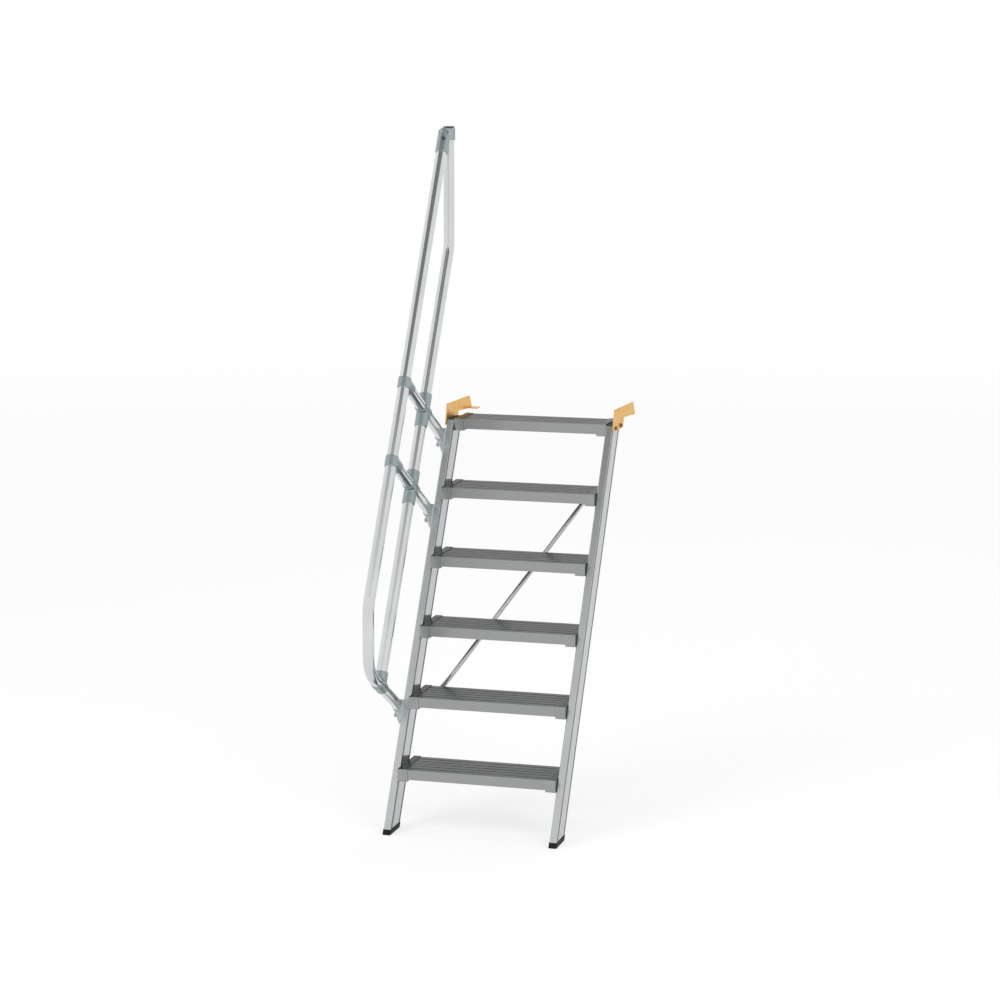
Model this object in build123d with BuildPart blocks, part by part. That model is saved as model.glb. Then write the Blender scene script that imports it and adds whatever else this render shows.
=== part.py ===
from build123d import *
import os
from math import cos, radians, sin, tan

# Millimetres. X runs across the stair to the climber's right, Y away from the climber, Z up.
# The origin is under the foot of the left landing hook, so Z = 0 is the landing level.

# Stair
pitch_angle = 60
riser = 240
first_rise = 225
tread_count = 6
clear_width = 600
hook_to_middle = 313
hook_to_front = 314

# Stringers
stringer_width = 28
stringer_depth = 98
stringer_wall = 3
stringer_corner = 4
groove_inset = 12
groove_width = 4
groove_depth = 2.2
panel_recess = 0.6
floor_clearance = 9
top_cap_thickness = 3

# Treads
tread_depth = 200
top_tread_depth = 165
tread_height = 37
nosing_overhang = 34
skin = 2
rib_pitch = 34
rib_gap = 8
rib_depth = 2.2
shoe_skin = 2
shoe_top_reach = 27
shoe_front_reach = 38
shoe_drop = 5

# Rails
tube_diameter = 42
tube_wall = 2
bend_radius = 118
rail_gap = 3
handrail_out = 495
knee_rail_out = 230
upper_post_s = -58
middle_post_s = -369
lower_post_s = -1145
post_end_out = -60
newel_y = -203
newel_top = 1104
handrail_front_y = -1210
handrail_short = 22
sleeve_wall = 3.5
branch_floor = 6
end_gap = 1
fit_gap = 0.1

# Landing hooks
hook_thickness = 5
hook_reach = 20

pitch = radians(pitch_angle)
going = riser / tan(pitch)
floor_z = -first_rise - riser * (tread_count - 1)
landing_y = top_tread_depth - hook_to_front
inner_face_x = hook_to_middle - clear_width / 2
outer_face_x = inner_face_x - stringer_width
tube_radius = tube_diameter / 2
bore_radius = tube_radius + fit_gap
sleeve_radius = tube_radius + sleeve_wall
rail_x = outer_face_x - rail_gap - tube_radius
branch_start = tube_radius + branch_floor
handrail_top_s = (newel_top - handrail_out * cos(pitch)) / sin(pitch) - handrail_short
up_slope = Vector(0, cos(pitch), sin(pitch))
off_slope = Vector(0, -sin(pitch), cos(pitch))
across = Vector(1, 0, 0)

os.makedirs("parts", exist_ok=True)


def slope_point(x, s, n):
    """The point s up the slope from the landing level and n out from the stringers' front."""
    return Vector(x, -hook_to_front, 0) + up_slope * s + off_slope * n


def front_y(z):
    """Y of the stringers' front plane at height z."""
    return z / tan(pitch) - hook_to_front


def side_x(side, distance):
    """X at a distance outward from the inner face of the left (-1) or right (1) stringer."""
    return hook_to_middle + side * (clear_width / 2 + distance)


def save(part, name):
    part.label = name
    export_step(part, f"parts/{name}.step")


# Stringers, their foot caps and their top caps
slope_start = floor_z / sin(pitch) - stringer_depth
slope_length = stringer_depth - slope_start


def section_plane(side):
    """Square to the slope below the floor, on the stringer's front, with Y running to its back."""
    middle_x = side_x(side, stringer_width / 2)
    return Plane(slope_point(middle_x, slope_start, 0), x_dir=across, z_dir=up_slope)


def stringer_box(grow=0.0, corner=stringer_corner, mode=Mode.ADD):
    with Locations((0, stringer_depth / 2)):
        RectangleRounded(stringer_width + 2 * grow, stringer_depth + 2 * grow, corner, mode=mode)


def cut_side_panels():
    """A shallow recess between two narrow grooves along each side of the box."""
    panel = stringer_depth - 2 * groove_inset
    for face_x in (-stringer_width / 2, stringer_width / 2):
        with Locations((face_x, stringer_depth / 2)):
            Rectangle(2 * panel_recess, panel, mode=Mode.SUBTRACT)
            with GridLocations(0, panel - groove_width, 1, 2):
                Rectangle(2 * groove_depth, groove_width, mode=Mode.SUBTRACT)


def make_stringer(name, side):
    with BuildPart() as stringer:
        with BuildSketch(section_plane(side)):
            stringer_box()
            cut_side_panels()
            stringer_box(-stringer_wall - groove_depth / 2, 2, Mode.SUBTRACT)
        extrude(amount=slope_length)
        split(bisect_by=Plane.XY.offset(floor_z + floor_clearance), keep=Keep.TOP)
        split(bisect_by=Plane.XY.offset(-top_cap_thickness), keep=Keep.BOTTOM)
    save(stringer.part, name)


def make_foot_cap(name, side):
    """A plastic cap: a rounded sole below the cut end with a low lip around it."""
    lip_height = 10
    lip_wall = 1.6
    sole_round = 2.5
    with BuildPart() as cap:
        with BuildSketch(section_plane(side)):
            stringer_box(lip_wall)
        extrude(amount=slope_length)
        split(bisect_by=Plane.XY.offset(floor_z), keep=Keep.TOP)
        split(bisect_by=Plane.XY.offset(floor_z + floor_clearance + lip_height), keep=Keep.BOTTOM)
        fillet(cap.faces().sort_by(Axis.Z)[0].edges(), sole_round)
    with BuildPart() as end:
        with BuildSketch(section_plane(side)):
            stringer_box(fit_gap)
        extrude(amount=slope_length)
        split(bisect_by=Plane.XY.offset(floor_z + floor_clearance), keep=Keep.TOP)
    with BuildPart() as fitted:
        add(cap.part)
        add(end.part, mode=Mode.SUBTRACT)
    save(fitted.part, name)


def make_top_cap(name, side):
    """A flat plate on the level cut at the head of the stringer, with a plug in the hollow."""
    plug_depth = 20
    with BuildPart() as cap:
        with BuildSketch(section_plane(side)):
            stringer_box(-groove_depth)
        extrude(amount=slope_length)
        split(bisect_by=Plane.XY.offset(-top_cap_thickness), keep=Keep.TOP)
        split(bisect_by=Plane.XY.offset(-skin / 2), keep=Keep.BOTTOM)
    with BuildPart() as plug:
        with BuildSketch(section_plane(side)):
            stringer_box(-stringer_wall - groove_depth, 2)
        extrude(amount=slope_length)
        split(bisect_by=Plane.XY.offset(-top_cap_thickness - plug_depth), keep=Keep.TOP)
        split(bisect_by=Plane.XY.offset(-top_cap_thickness), keep=Keep.BOTTOM)
    with BuildPart() as whole:
        add(cap.part)
        add(plug.part)
    save(whole.part, name)


# Treads and the shoes that hold their ends
front_box_depth = 36
back_box_depth = 24
back_height = 24
middle_web_y = 110


def tread_place(number):
    """The nosing's Y, the top's Z and the depth of a tread, counted from the floor."""
    z = riser * (number - tread_count)
    if number == tread_count:
        return (front_y(z), z, top_tread_depth)
    return (front_y(z) - nosing_overhang, z, tread_depth)


def tread_section(depth):
    """Ribbed deck over a front box, a middle leg and a back box, nosing at the local origin."""
    corner = (Align.MIN, Align.MAX)
    Rectangle(depth, skin + rib_depth, align=corner)
    Rectangle(front_box_depth, tread_height, align=corner)
    with Locations((middle_web_y, 0)):
        Rectangle(skin, tread_height, align=corner)
        with Locations((0, skin - tread_height)):
            Rectangle(front_box_depth / 2, skin, align=(Align.CENTER, Align.MAX))
    with Locations((depth - back_box_depth, 0)):
        Rectangle(back_box_depth, back_height, align=corner)
    hollow_top = -skin - rib_depth
    lost_height = 2 * skin + rib_depth
    with Locations((skin, hollow_top)):
        hollow_height = tread_height - lost_height
        Rectangle(front_box_depth - 2 * skin, hollow_height, align=corner, mode=Mode.SUBTRACT)
    with Locations((depth - back_box_depth + skin, hollow_top)):
        hollow_height = back_height - lost_height
        Rectangle(back_box_depth - 2 * skin, hollow_height, align=corner, mode=Mode.SUBTRACT)
    groove_count = int(depth / rib_pitch)
    with Locations((depth / 2, 0)):
        with GridLocations(rib_pitch, 0, groove_count, 1):
            Rectangle(rib_gap, 2 * rib_depth, mode=Mode.SUBTRACT)


def make_tread(number):
    nosing_y, z, depth = tread_place(number)
    start_x = side_x(-1, -shoe_skin)
    with BuildPart() as tread:
        with BuildSketch(Plane(Vector(start_x, nosing_y, z), x_dir=(0, 1, 0), z_dir=across)):
            tread_section(depth)
        extrude(amount=clear_width - 2 * shoe_skin)
    save(tread.part, f"tread_{number}")


def make_shoe(number, side, name):
    """A shoe around a tread's end: side plate, front, bottom and a narrower strip on top."""
    nosing_y, z, depth = tread_place(number)
    inward = -side
    grow = shoe_skin + fit_gap
    corner = (Align.MIN, Align.MAX)
    face = Plane(Vector(side_x(side, 0), nosing_y, z), x_dir=(0, 1, 0), z_dir=across)
    with BuildPart() as shoe:
        with BuildSketch(face):
            with Locations((-grow, grow)):
                Rectangle(depth + 2 * grow, tread_height + 2 * grow + shoe_drop, align=corner)
        extrude(amount=inward * shoe_front_reach)
        with BuildSketch(face.offset(inward * shoe_skin)):
            with Locations((-fit_gap, fit_gap)):
                Rectangle(depth + 2 * fit_gap, tread_height + 2 * fit_gap, align=corner)
        extrude(amount=inward * shoe_front_reach, mode=Mode.SUBTRACT)
        with BuildSketch(face.offset(inward * shoe_top_reach)):
            with Locations((0, grow)):
                Rectangle(depth + 2 * grow, 2 * grow, align=corner)
        extrude(amount=inward * shoe_front_reach, mode=Mode.SUBTRACT)
        fillet(shoe.edges().filter_by(Axis.X).group_by(Axis.Y)[0], shoe_skin / 2)
    save(shoe.part, f"tread_{number}_{name}_shoe")


# Landing hooks and their bolts
bolt_radius = 4.5
bolt_z = -14
bolt_inset = 26
bolt_spacing = 82
bolt_ys = (front_y(bolt_z) + bolt_inset, front_y(bolt_z) + bolt_inset + bolt_spacing)


def make_hook(name, side):
    """A bent plate: the side view, and a small level foot turned inward at its far end."""
    foot_width = 38
    foot_thickness = 4
    corner_round = 4
    leg_bottom = -26
    leg_width = 24
    leg_length = 100
    arm_top = 50
    arm_rise = 7
    arm_bottom = 10
    arm_start = landing_y - 14
    edge_lift = 4
    front_bottom = front_y(leg_bottom)
    foot_align = (Align.MIN if side < 0 else Align.MAX, Align.CENTER)
    plate = Plane.YZ.offset(side_x(side, stringer_width))
    with BuildPart() as hook:
        with BuildSketch(plate):
            with BuildLine():
                Polyline(
                    (front_bottom, leg_bottom + edge_lift),
                    (front_bottom + leg_width, arm_top + arm_rise),
                    (-hook_reach / 2, arm_top),
                    (hook_reach, 0),
                    (arm_start, arm_bottom),
                    (arm_start - leg_width / 2, leg_bottom + edge_lift),
                    (front_bottom + leg_length, leg_bottom),
                    close=True,
                )
            make_face()
        extrude(amount=side * hook_thickness)
        fillet(hook.edges().filter_by(Axis.X), corner_round)
        with BuildSketch(Plane.XY):
            with Locations((side_x(side, stringer_width + hook_thickness), 0)):
                Rectangle(foot_width, 2 * hook_reach, align=foot_align)
        extrude(amount=foot_thickness)
        with BuildSketch(plate):
            with Locations(*[(y, bolt_z) for y in bolt_ys]):
                Circle(bolt_radius)
        extrude(amount=side * hook_thickness, mode=Mode.SUBTRACT)
    save(hook.part, name)


def make_hook_bolts(name, side):
    """Two hexagon bolts with washers that hold the hook to the stringer."""
    washer_thickness = 1.6
    head_height = 5
    head_radius = 7.2
    places = [(y, bolt_z) for y in bolt_ys]
    plate = Plane.YZ.offset(side_x(side, stringer_width))
    with BuildPart() as bolts:
        with BuildSketch(plate):
            with Locations(*places):
                Circle(bolt_radius - fit_gap)
        extrude(amount=side * hook_thickness)
        with BuildSketch(plate.offset(side * hook_thickness)):
            with Locations(*places):
                Circle(2 * bolt_radius)
        extrude(amount=side * washer_thickness)
        with BuildSketch(plate.offset(side * (hook_thickness + washer_thickness))):
            with Locations(*places):
                RegularPolygon(head_radius, 6)
        extrude(amount=side * head_height)
    save(bolts.part, name)


# Diagonal brace behind the treads
def make_brace():
    """A thin tube from the back of the second tread to the back of the fifth, with flat ends."""
    brace_radius = 9
    brace_wall = 2
    clearance = 4
    lug_inset = 66
    lug_width = 24
    lug_height = 20
    lug_thickness = 4
    blend_rise = 38
    blend_run = blend_rise * 2 / 3
    nosing_y, low_z, depth = tread_place(2)
    low_lug = Vector(side_x(-1, -lug_inset), nosing_y + depth + lug_thickness / 2, low_z - clearance)
    corner_n = (low_z - back_height) * cos(pitch) - (nosing_y + depth + hook_to_front) * sin(pitch)
    nosing_y, high_z, depth = tread_place(tread_count - 1)
    high_lug = Vector(side_x(1, -lug_inset), nosing_y + depth + lug_thickness / 2, high_z - back_height)
    out = corner_n - brace_radius - clearance
    low_s = (low_lug.Z + blend_rise - out * cos(pitch)) / sin(pitch)
    high_s = (high_lug.Z - blend_rise - out * cos(pitch)) / sin(pitch)
    low = slope_point(low_lug.X + blend_run, low_s, out)
    high = slope_point(high_lug.X - blend_run, high_s, out)
    tube_length = (high - low).length
    tube_place = Plane(low, x_dir=across, z_dir=high - low)
    with BuildPart() as brace:
        with BuildSketch(tube_place):
            Circle(brace_radius)
            Circle(brace_radius - brace_wall, mode=Mode.SUBTRACT)
        extrude(amount=tube_length)
        for lug, end, outward in ((low_lug, 0, -1), (high_lug, tube_length, 1)):
            with BuildSketch(tube_place.offset(end)):
                Circle(brace_radius)
            with BuildSketch(Plane(lug, x_dir=across, z_dir=(0, 0, 1))):
                Ellipse(lug_width / 2, lug_thickness / 2)
            loft()
            with BuildSketch(Plane(lug, x_dir=across, z_dir=(0, 0, 1))):
                Rectangle(lug_width, lug_thickness)
            extrude(amount=outward * lug_height)
    save(brace.part, "brace")


# Rails and struts, all in one plane beside the left stringer
def tube_ring():
    Circle(tube_radius)
    Circle(tube_radius - tube_wall, mode=Mode.SUBTRACT)


def make_bent_tube(name, points):
    with BuildPart() as rail:
        with BuildLine() as route:
            FilletPolyline(*points, radius=bend_radius)
        with BuildSketch(Plane(route.line @ 0, x_dir=across, z_dir=route.line % 0)):
            tube_ring()
        sweep(path=route.line)
    save(rail.part, name)


def make_handrail():
    """From the top connector down the slope, then upright, then square to the stringer."""
    bend_s = (handrail_front_y + hook_to_front + handrail_out * sin(pitch)) / cos(pitch)
    lower_n = (up_slope.Y * lower_post_s - hook_to_front - handrail_front_y) / sin(pitch)
    make_bent_tube(
        "handrail",
        [
            slope_point(rail_x, handrail_top_s, handrail_out),
            slope_point(rail_x, bend_s, handrail_out),
            slope_point(rail_x, lower_post_s, lower_n),
            slope_point(rail_x, lower_post_s, post_end_out),
        ],
    )


def make_knee_rail():
    """From the lower tee up the slope, then upright into the top connector."""
    start_s = lower_post_s + branch_start + end_gap
    bend_s = (newel_y + hook_to_front + knee_rail_out * sin(pitch)) / cos(pitch)
    make_bent_tube(
        "knee_rail",
        [
            slope_point(rail_x, start_s, knee_rail_out),
            slope_point(rail_x, bend_s, knee_rail_out),
            Vector(rail_x, newel_y, newel_top),
        ],
    )


def make_strut(name, s, start_n, end_n):
    with BuildPart() as strut:
        with BuildSketch(Plane(slope_point(rail_x, s, start_n), x_dir=across, z_dir=off_slope)):
            tube_ring()
        extrude(amount=end_n - start_n)
    save(strut.part, name)


def sleeve(s, n, direction, length, radius, both=True, mode=Mode.ADD):
    """A cylinder in the rail plane, starting at a point of the slope, or also running back from it."""
    place = Plane(slope_point(rail_x, s, n), x_dir=across, z_dir=direction)
    align = (Align.CENTER, Align.CENTER, Align.CENTER if both else Align.MIN)
    with Locations(place.location):
        Cylinder(radius, 2 * length if both else length, align=align, mode=mode)


def web(points, thickness):
    """A flat web in the rail plane through points given as (s, n)."""
    outline = Wire.make_polygon([slope_point(rail_x, s, n) for s, n in points])
    extrude(Face(outline), amount=thickness / 2, both=True)


def make_handrail_tee(name, s):
    """A sleeve on the handrail with a branch down to the strut and webs in the corners."""
    half_length = 26
    branch = 76
    web_thickness = 18
    web_inset = 6
    n = handrail_out
    with BuildPart() as tee:
        sleeve(s, n, up_slope, half_length, sleeve_radius)
        sleeve(s, n, -off_slope, branch, sleeve_radius, both=False)
        for way in (-1, 1):
            shoulder = (s + way * half_length, n - sleeve_radius + web_inset)
            tip = (s + way * (sleeve_radius - web_inset), n - branch)
            web([shoulder, tip, (s, n - branch), (s, n)], web_thickness)
        sleeve(s, n, up_slope, 2 * half_length, bore_radius, mode=Mode.SUBTRACT)
        sleeve(s, n - branch_start, -off_slope, branch, bore_radius, both=False, mode=Mode.SUBTRACT)
    save(tee.part, name)


def make_knee_cross(name, s):
    """A long sleeve on the knee rail, with a short branch for the strut on each side."""
    half_length = 62
    branch = 40
    web_thickness = 14
    n = knee_rail_out
    with BuildPart() as cross:
        sleeve(s, n, up_slope, half_length, sleeve_radius)
        sleeve(s, n, off_slope, branch, sleeve_radius)
        web([(s + half_length, n), (s, n + branch), (s - half_length, n), (s, n - branch)], web_thickness)
        sleeve(s, n, up_slope, 2 * half_length, bore_radius, mode=Mode.SUBTRACT)
        sleeve(s, n + branch_start, off_slope, branch, bore_radius, both=False, mode=Mode.SUBTRACT)
        sleeve(s, n - branch_start, -off_slope, branch, bore_radius, both=False, mode=Mode.SUBTRACT)
    save(cross.part, name)


def make_knee_tee():
    """A sleeve on the lowest post with a branch that the knee rail starts from."""
    half_length = 34
    branch = 84
    web_thickness = 14
    web_inset = 6
    s = lower_post_s
    n = knee_rail_out
    with BuildPart() as tee:
        sleeve(s, n, off_slope, half_length, sleeve_radius)
        sleeve(s, n, up_slope, branch, sleeve_radius, both=False)
        for way in (-1, 1):
            tip = (s + branch, n + way * (sleeve_radius - web_inset))
            web([(s, n + way * half_length), tip, (s + branch, n), (s, n)], web_thickness)
        sleeve(s, n, off_slope, 2 * half_length, bore_radius, mode=Mode.SUBTRACT)
        sleeve(s + branch_start, n, up_slope, branch, bore_radius, both=False, mode=Mode.SUBTRACT)
    save(tee.part, "knee_tee_lower")


def make_socket(name, s):
    """A casting on the stringer's side: a blind socket, a saddle in front of it and a rib below."""
    saddle_n = 6
    front_n = -30
    back_n = -78
    top = tube_radius + 6
    saddle_out = 13
    saddle_drop = 60
    taper = 82
    rim = 1.5
    saddle_place = Plane(slope_point(outer_face_x, s, saddle_n), x_dir=up_slope, z_dir=-off_slope)
    socket_place = saddle_place.offset(saddle_n - front_n)
    way = 1 if saddle_place.to_local_coords(slope_point(rail_x, s, saddle_n)).Y > 0 else -1
    outward = way * (outer_face_x - rail_x)
    with BuildPart() as socket:
        with BuildSketch(saddle_place):
            with BuildLine():
                Polyline(
                    (top, 0),
                    (top, way * saddle_out),
                    (-sleeve_radius, way * saddle_out),
                    (-saddle_drop, 0),
                    close=True,
                )
            make_face()
        extrude(amount=saddle_n - front_n)
        with BuildSketch(socket_place):
            with BuildLine():
                Polyline(
                    (top, 0),
                    (top, outward),
                    (-sleeve_radius / 2, outward + way * tube_radius / 2),
                    (-taper, 0),
                    close=True,
                )
            make_face()
            with Locations((0, outward)):
                Circle(sleeve_radius + rim)
        extrude(amount=front_n - back_n)
        split(bisect_by=Plane.YZ.offset(outer_face_x), keep=Keep.BOTTOM)
        bore_length = saddle_n - post_end_out + 2 * end_gap
        sleeve(s, saddle_n + end_gap, -off_slope, bore_length, bore_radius, both=False, mode=Mode.SUBTRACT)
    save(socket.part, name)


def make_top_connector():
    """One casting that joins the head of the upright to the slanted end of the handrail."""
    drop = 56
    slant = 92
    cap_gap = 1
    end_wall = 14
    web_reach = 92
    web_shoulder = 70
    web_foot = 45
    web_fall = 20
    top_s = handrail_top_s + end_wall
    web_top = newel_top - cap_gap - skin
    with BuildPart() as connector:
        with BuildSketch(Plane.XY.offset(newel_top - cap_gap)):
            with Locations((rail_x, newel_y)):
                Circle(sleeve_radius)
        extrude(amount=-drop)
        sleeve(top_s, handrail_out, -up_slope, slant, sleeve_radius, both=False)
        split(bisect_by=Plane.XY.offset(newel_top - cap_gap), keep=Keep.BOTTOM)
        with BuildSketch(Plane.YZ.offset(rail_x)):
            with BuildLine():
                Polyline(
                    (newel_y - web_reach, newel_top - web_fall),
                    (newel_y - web_shoulder, web_top),
                    (newel_y, web_top),
                    (newel_y, newel_top - drop),
                    (newel_y - web_foot, newel_top - drop),
                    close=True,
                )
            make_face()
        extrude(amount=tube_radius, both=True)
        with BuildSketch(Plane.XY.offset(newel_top)):
            with Locations((rail_x, newel_y)):
                Circle(bore_radius)
        extrude(amount=-2 * drop, mode=Mode.SUBTRACT)
        bore_s = handrail_top_s + fit_gap
        sleeve(bore_s, handrail_out, -up_slope, 2 * slant, bore_radius, both=False, mode=Mode.SUBTRACT)
    save(connector.part, "top_connector")


def make_top_plug():
    """The black plug in the head of the upright."""
    head = 5
    stem = 16
    with BuildPart() as plug:
        with BuildSketch(Plane.XY.offset(newel_top)):
            with Locations((rail_x, newel_y)):
                Circle(tube_radius)
        extrude(amount=head)
        fillet(plug.edges().group_by(Axis.Z)[-1], head / 3)
        with BuildSketch(Plane.XY.offset(newel_top)):
            with Locations((rail_x, newel_y)):
                Circle(tube_radius - tube_wall - fit_gap)
        extrude(amount=-stem)
    save(plug.part, "top_plug")


for side, name in ((-1, "left"), (1, "right")):
    make_stringer(f"{name}_stringer", side)
    make_foot_cap(f"{name}_foot_cap", side)
    make_top_cap(f"{name}_top_cap", side)
    make_hook(f"{name}_landing_hook", side)
    make_hook_bolts(f"{name}_hook_bolts", side)
    for number in range(1, tread_count + 1):
        make_shoe(number, side, name)

for number in range(1, tread_count + 1):
    make_tread(number)

make_brace()
make_handrail()
make_knee_rail()

strut_gap = branch_start + end_gap
for name, s in (("upper", upper_post_s), ("middle", middle_post_s)):
    make_strut(f"{name}_strut_outer", s, knee_rail_out + strut_gap, handrail_out - strut_gap)
    make_strut(f"{name}_strut_inner", s, post_end_out, knee_rail_out - strut_gap)
    make_handrail_tee(f"handrail_tee_{name}", s)
    make_knee_cross(f"knee_cross_{name}", s)
    make_socket(f"{name}_socket", s)

make_knee_tee()
make_socket("lower_socket", lower_post_s)
make_top_connector()
make_top_plug()
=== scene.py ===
import math

import bmesh
import bpy
from mathutils import Matrix, Vector


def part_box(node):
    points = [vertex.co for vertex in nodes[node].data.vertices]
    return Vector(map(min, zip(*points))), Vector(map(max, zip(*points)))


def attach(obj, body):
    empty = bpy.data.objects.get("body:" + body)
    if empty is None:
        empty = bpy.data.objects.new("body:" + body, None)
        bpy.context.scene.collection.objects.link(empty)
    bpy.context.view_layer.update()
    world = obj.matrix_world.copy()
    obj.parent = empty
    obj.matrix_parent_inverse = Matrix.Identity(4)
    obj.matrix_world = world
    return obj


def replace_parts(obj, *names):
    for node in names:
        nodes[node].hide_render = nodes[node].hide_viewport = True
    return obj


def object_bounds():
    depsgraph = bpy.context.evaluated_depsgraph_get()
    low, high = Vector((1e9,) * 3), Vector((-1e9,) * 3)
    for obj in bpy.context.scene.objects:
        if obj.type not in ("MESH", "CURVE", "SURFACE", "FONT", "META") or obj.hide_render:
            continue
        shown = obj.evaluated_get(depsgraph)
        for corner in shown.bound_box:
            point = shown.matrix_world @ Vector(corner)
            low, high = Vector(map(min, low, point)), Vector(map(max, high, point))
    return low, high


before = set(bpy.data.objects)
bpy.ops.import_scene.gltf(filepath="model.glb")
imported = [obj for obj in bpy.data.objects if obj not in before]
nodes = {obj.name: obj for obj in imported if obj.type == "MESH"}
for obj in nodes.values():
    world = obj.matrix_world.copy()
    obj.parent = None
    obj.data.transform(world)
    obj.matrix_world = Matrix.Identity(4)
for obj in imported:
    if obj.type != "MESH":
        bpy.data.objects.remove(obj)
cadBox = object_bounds()
print("stair loaded:", len(nodes), "CAD pieces")

# The stair's own directions and places, in metres. X = across, Y = away, Z = up.
stair = {
    "pitch": math.radians(60),
    "frontY": -0.314,        # the stringers' front plane at the landing level
    "stringerDepth": 0.098,
    "railX": (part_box("handrail")[0].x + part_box("handrail")[1].x) / 2,
    "floorZ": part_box("left_foot_cap")[0].z,
    "upperPost": -0.058,     # places of the three posts, measured up the slope
    "middlePost": -0.369,
    "lowerPost": -1.145,
}
upSlope = Vector((0, math.cos(stair["pitch"]), math.sin(stair["pitch"])))
offSlope = Vector((0, -math.sin(stair["pitch"]), math.cos(stair["pitch"])))


def slopePoint(x, s, n):
    # s = up the slope, n = out of it
    return Vector((x, stair["frontY"], 0)) + upSlope * s + offSlope * n


def railPoint(s, n):
    return slopePoint(stair["railX"], s, n)


# Small helpers for node materials
def newMaterial(name):
    material = bpy.data.materials.new(name)
    material.use_nodes = True
    shader = material.node_tree.nodes["Principled BSDF"]
    return material, material.node_tree, shader


def addNode(tree, kind, inputs=None, **values):
    node = tree.nodes.new(kind)
    for key, value in values.items():
        setattr(node, key, value)
    for key, value in (inputs or {}).items():
        node.inputs[key].default_value = value
    return node


def feed(tree, socket, value):
    # a link or a plain value
    if isinstance(value, bpy.types.NodeSocket):
        tree.links.new(value, socket)
    else:
        socket.default_value = value


def objectPlace(tree, scale=(1, 1, 1), turn=(0, 0, 0)):
    place = addNode(tree, "ShaderNodeTexCoord")
    mapping = addNode(tree, "ShaderNodeMapping", {"Scale": scale, "Rotation": turn})
    tree.links.new(place.outputs["Object"], mapping.inputs["Vector"])
    return mapping.outputs["Vector"]


def noise(tree, vector, scale, detail, roughness=0.55):
    settings = {"Scale": scale, "Detail": detail, "Roughness": roughness}
    node = addNode(tree, "ShaderNodeTexNoise", settings)
    tree.links.new(vector, node.inputs["Vector"])
    return node.outputs["Fac"]


def spread(tree, value, low, high, fromLow=0.3, fromHigh=0.7):
    node = addNode(tree, "ShaderNodeMapRange", {1: fromLow, 2: fromHigh, 3: low, 4: high})
    tree.links.new(value, node.inputs[0])
    return node.outputs[0]


def mixColours(tree, factor, first, second):
    node = addNode(tree, "ShaderNodeMix", data_type="RGBA")
    feed(tree, node.inputs[0], factor)
    for socket, colour in ((6, first), (7, second)):
        feed(tree, node.inputs[socket], (*colour, 1) if isinstance(colour, tuple) else colour)
    return node.outputs[2]


def combine(tree, operation, first, second, clamp=False):
    node = addNode(tree, "ShaderNodeMath", operation=operation, use_clamp=clamp)
    feed(tree, node.inputs[0], first)
    feed(tree, node.inputs[1], second)
    return node.outputs[0]


def absolute(tree, value):
    node = addNode(tree, "ShaderNodeMath", operation="ABSOLUTE")
    tree.links.new(value, node.inputs[0])
    return node.outputs[0]


def bump(tree, shader, heights, strength, distance):
    last = None
    for height in heights:
        node = addNode(tree, "ShaderNodeBump", {"Strength": strength, "Distance": distance})
        tree.links.new(height, node.inputs["Height"])
        if last:
            tree.links.new(last.outputs["Normal"], node.inputs["Normal"])
        last = node
    tree.links.new(last.outputs["Normal"], shader.inputs["Normal"])


def edgeMask(tree, radius):
    # 1 along sharp edges, which are coloured brighter: wear from handling, and on the stringers a
    # painted highlight where the rounded corners catch the light
    bevel = addNode(tree, "ShaderNodeBevel", {"Radius": radius}, samples=4)
    geometry = addNode(tree, "ShaderNodeNewGeometry")
    dot = addNode(tree, "ShaderNodeVectorMath", operation="DOT_PRODUCT")
    tree.links.new(bevel.outputs[0], dot.inputs[0])
    tree.links.new(geometry.outputs["Normal"], dot.inputs[1])
    return spread(tree, dot.outputs["Value"], 1.0, 0.0, 0.75, 0.98)


def normalPart(tree, axis):
    geometry = addNode(tree, "ShaderNodeNewGeometry")
    split = addNode(tree, "ShaderNodeSeparateXYZ")
    tree.links.new(geometry.outputs["Normal"], split.inputs[0])
    return split.outputs[axis]


def facingUp(tree):
    # 0 on fronts and sides, 1 on faces that look up
    return spread(tree, normalPart(tree, "Z"), 0.0, 1.0, 0.3, 0.8)


def facingSideways(tree):
    # 1 on faces that look across the stair
    return spread(tree, absolute(tree, normalPart(tree, "X")), 0.0, 1.0, 0.5, 0.9)


slopeTurn = (math.radians(90) - stair["pitch"], 0, 0)   # turns Z to run up the slope


# Stringers: extruded aluminium, with die lines that run up the slope
stringerFinish = {
    "colour": (0.55, 0.57, 0.58),
    "dull": (0.48, 0.495, 0.505),
    "side": (0.47, 0.485, 0.49),
    # the painted highlight along the stringers' edges, and how much of it
    "edgeWearAndHighlightColour": (0.72, 0.73, 0.74),
    "edgeWearAndHighlight": 0.5,
    "metallic": 0.95,
    "roughness": (0.13, 0.20),
    "frontDull": 0.10,          # extra roughness on the front and back
    "lineScale": (900, 900, 5),
    "cloudScale": 5.0,
    "edge": 0.0012,
    # how far behind the front the painted dark lines of shade on the sides run, and half the width of
    # each
    "grooves": ((0.0070, 0.0056), (0.089, 0.0066)),
    "grooveBlur": 0.3,          # softness of their edges, as a share of that half width
    # the colour of the painted shade along the grooves
    "grooveShade": (0.07, 0.072, 0.075),
}


def grooveMask(tree, finish):
    # 1 in the grooves of the sides and beside the front corner, where shade is painted dark
    place = addNode(tree, "ShaderNodeTexCoord")
    depth = addNode(tree, "ShaderNodeVectorMath", operation="DOT_PRODUCT")
    tree.links.new(place.outputs["Object"], depth.inputs[0])
    depth.inputs[1].default_value = -offSlope
    front = -offSlope.dot(slopePoint(0, 0, 0))
    lines = []
    for behind, half in finish["grooves"]:
        off = absolute(tree, combine(tree, "SUBTRACT", depth.outputs["Value"], front + behind))
        blur = half * finish["grooveBlur"]
        lines.append(spread(tree, off, 1.0, 0.0, half - blur, half + blur))
    return combine(tree, "MAXIMUM", *lines)


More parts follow.
